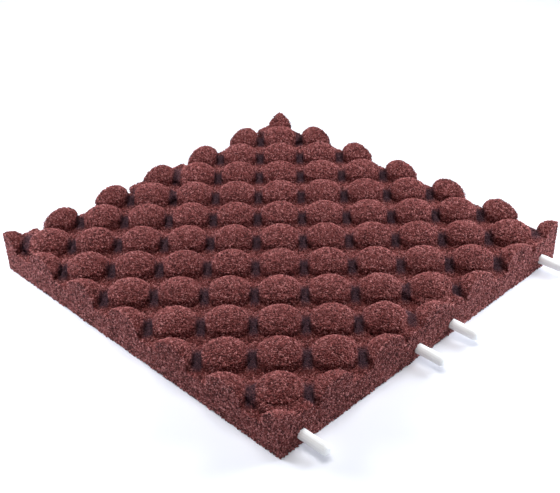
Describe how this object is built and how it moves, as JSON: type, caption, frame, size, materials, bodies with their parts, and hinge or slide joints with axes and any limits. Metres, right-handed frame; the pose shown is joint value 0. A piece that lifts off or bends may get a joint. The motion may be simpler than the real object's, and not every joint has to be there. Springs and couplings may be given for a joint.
{
  "type": "rubber safety tile",
  "caption": "Square shock-absorbing paving tile of bonded rubber granules with a studded underside, blind bores in two sides and plastic connecting pins in one of them.",
  "frame": {"origin": "centre of the flat tread face, which faces down", "axes": "+X out of the side that the pins stick out of, +Z from the tread face to the stud tops, +Y along the pinned side"},
  "size_m": [0.5353, 0.5, 0.055],
  "materials": {
    "rubber_granulate": "matt, open-grained red-brown bonded granules",
    "pin_plastic": "smooth satin white moulded plastic"
  },
  "bodies": {
    "root": {"tile": "rubber_granulate", "pin_1": "pin_plastic", "pin_2": "pin_plastic", "pin_3": "pin_plastic", "pin_4": "pin_plastic"}
  },
  "joints": []
}
